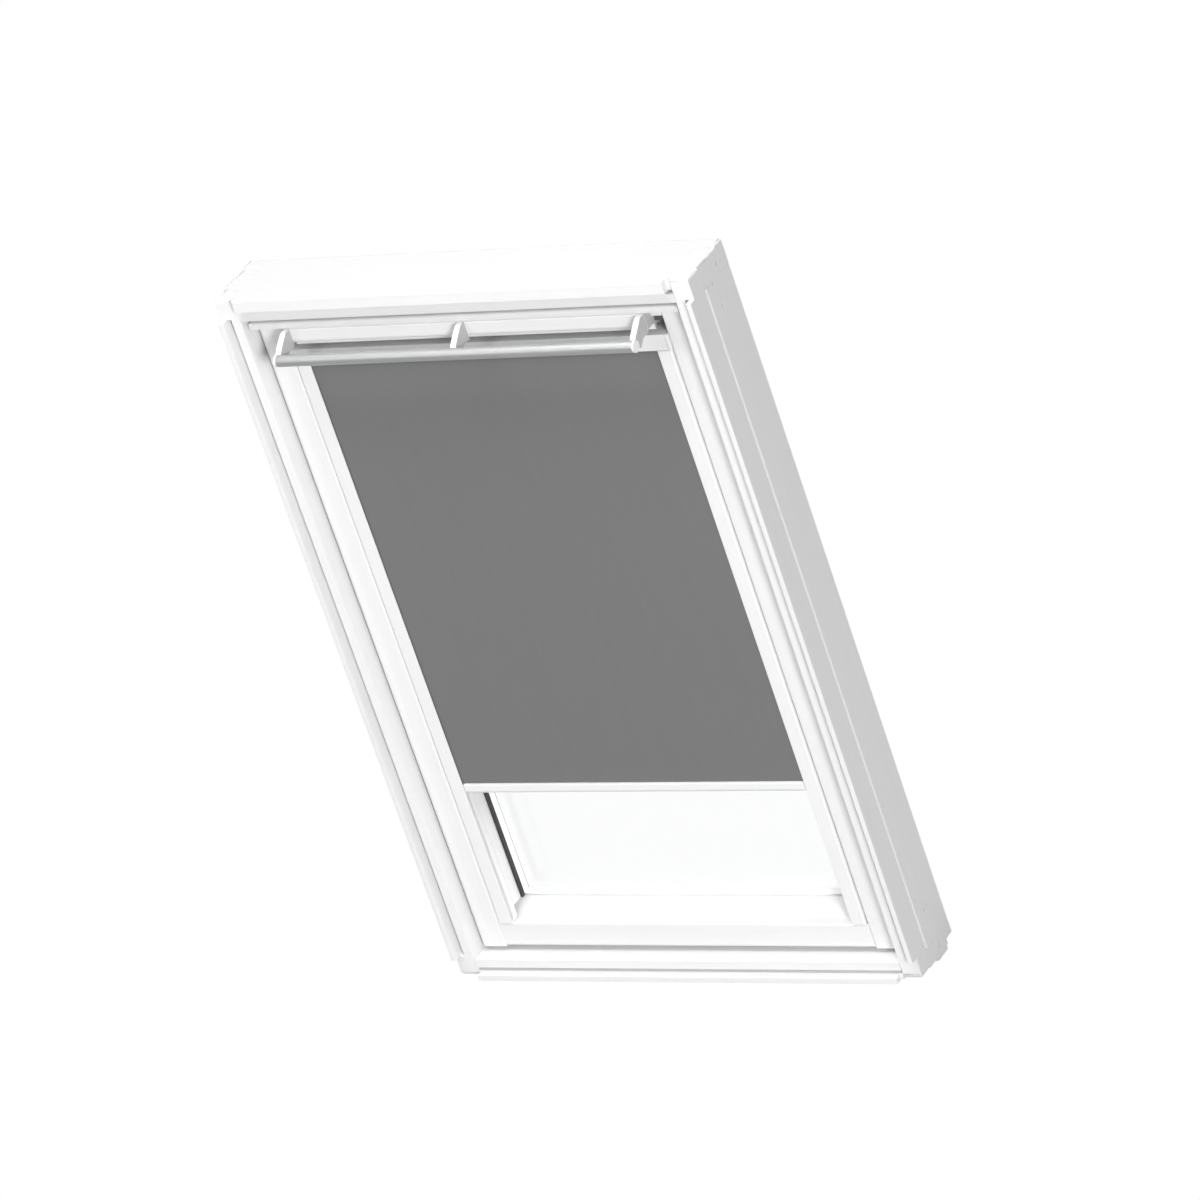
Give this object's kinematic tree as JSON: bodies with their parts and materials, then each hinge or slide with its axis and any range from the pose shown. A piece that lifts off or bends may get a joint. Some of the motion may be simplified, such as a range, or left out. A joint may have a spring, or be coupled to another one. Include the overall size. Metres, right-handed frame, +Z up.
{
  "type": "roof window with roller blind",
  "caption": "White centre-pivot roof window: comb-jointed frame, turning glazed sash, ventilation flap with control bar, and a grey roller blind running in side rails.",
  "frame": {"origin": "middle of the flat underside of the frame's sill, 50 mm behind the front of the frame's lip", "axes": "+X across the window, +Y from the room to the outside, +Z up the window along its slope"},
  "size_m": [0.66, 0.1311, 0.9845],
  "materials": {
    "white_lacquer": "smooth white lacquer on wood",
    "white_plastic": "satin white moulding",
    "anodised_bar": "satin anodised",
    "zinc_fitting": "zinc plated",
    "dark_cover": "matt dark grey coating",
    "glide_plastic": "matt dark grey moulding",
    "seal_rubber": "matt black",
    "clear_glass": "clear float glass",
    "spacer_steel": "satin",
    "filter_foam": "open foam",
    "blind_fabric": "mid-grey coated cloth"
  },
  "bodies": {
    "frame": {"frame_head": "white_lacquer", "frame_sill": "white_lacquer", "frame_jamb_left": "white_lacquer", "frame_jamb_right": "white_lacquer", "frame_cover_head": "dark_cover", "frame_cover_sill": "dark_cover", "frame_cover_left": "dark_cover", "frame_cover_right": "dark_cover", "pivot_cup_left": "zinc_fitting", "pivot_cup_right": "zinc_fitting", "latch_keep": "zinc_fitting"},
    "sash": {"sash_head": "white_lacquer", "sash_sill": "white_lacquer", "sash_stile_left": "white_lacquer", "sash_stile_right": "white_lacquer", "inner_pane": "clear_glass", "outer_pane": "clear_glass", "glass_spacer": "spacer_steel", "glazing_gasket": "seal_rubber", "sash_cover_head": "dark_cover", "sash_cover_sill": "dark_cover", "sash_cover_left": "dark_cover", "sash_cover_right": "dark_cover", "pivot_arm_left": "zinc_fitting", "pivot_arm_right": "zinc_fitting", "air_filter_left": "filter_foam", "air_filter_right": "filter_foam", "lock_case": "zinc_fitting", "bolt_guide": "zinc_fitting", "flap_bearing_left": "glide_plastic", "flap_bearing_right": "glide_plastic", "head_bead": "white_lacquer", "blind_rail_left": "white_plastic", "blind_rail_right": "white_plastic", "rail_stop_left": "white_plastic", "rail_stop_right": "white_plastic", "blind_casing": "white_plastic", "casing_cap_left": "white_plastic", "casing_cap_right": "white_plastic", "blind_cloth": "blind_fabric"},
    "flap": {"vent_flap": "white_lacquer", "flap_seal": "seal_rubber", "control_bar": "anodised_bar", "bar_bracket_left": "white_plastic", "bar_bracket_middle": "white_plastic", "bar_bracket_right": "white_plastic", "bar_cap_left": "white_plastic", "bar_cap_right": "white_plastic"},
    "claw": {"latch_claw": "zinc_fitting"},
    "bolt": {"barrel_bolt": "zinc_fitting"},
    "roller": {"roller_tube": "anodised_bar", "roller_plug_left": "white_plastic", "roller_plug_right": "white_plastic", "cloth_wraps": "blind_fabric"},
    "blind_bar": {"bottom_bar": "white_lacquer", "bar_glide_left": "white_plastic", "bar_glide_right": "white_plastic"}
  },
  "joints": [
    {"name": "sash_pivot", "type": "hinge", "parent": "frame", "child": "sash", "pos_m": [0, 0.0115, 0.48225], "axis": [1, 0, 0], "range_deg": [0, 160]},
    {"name": "flap_hinge", "type": "hinge", "parent": "sash", "child": "flap", "pos_m": [0, -0.014, 0.914], "axis": [1, 0, 0], "range_deg": [0, 25]},
    {"name": "claw_hinge", "type": "hinge", "parent": "sash", "child": "claw", "pos_m": [0, 0.005, 0.9115], "axis": [1, 0, 0], "range_deg": [0, 25]},
    {"name": "bolt_slide", "type": "slide", "parent": "sash", "child": "bolt", "axis": [1, 0, 0], "range_m": [0, 0.0115]},
    {"name": "blind_slide", "type": "slide", "parent": "sash", "child": "blind_bar", "axis": [0, 0, 1], "range_m": [-0.189, 0.598], "deforming": ["blind_cloth"]},
    {"name": "roller_spin", "type": "hinge", "parent": "sash", "child": "roller", "pos_m": [0, -0.0083, 0.8817], "axis": [1, 0, 0], "range_deg": [-4180, 1325]}
  ],
  "couplings": [
    {"joint": "claw_hinge", "follows": "flap_hinge", "ratio": 1},
    {"joint": "roller_spin", "follows": "blind_slide", "rad_per_m": -121.95}
  ]
}
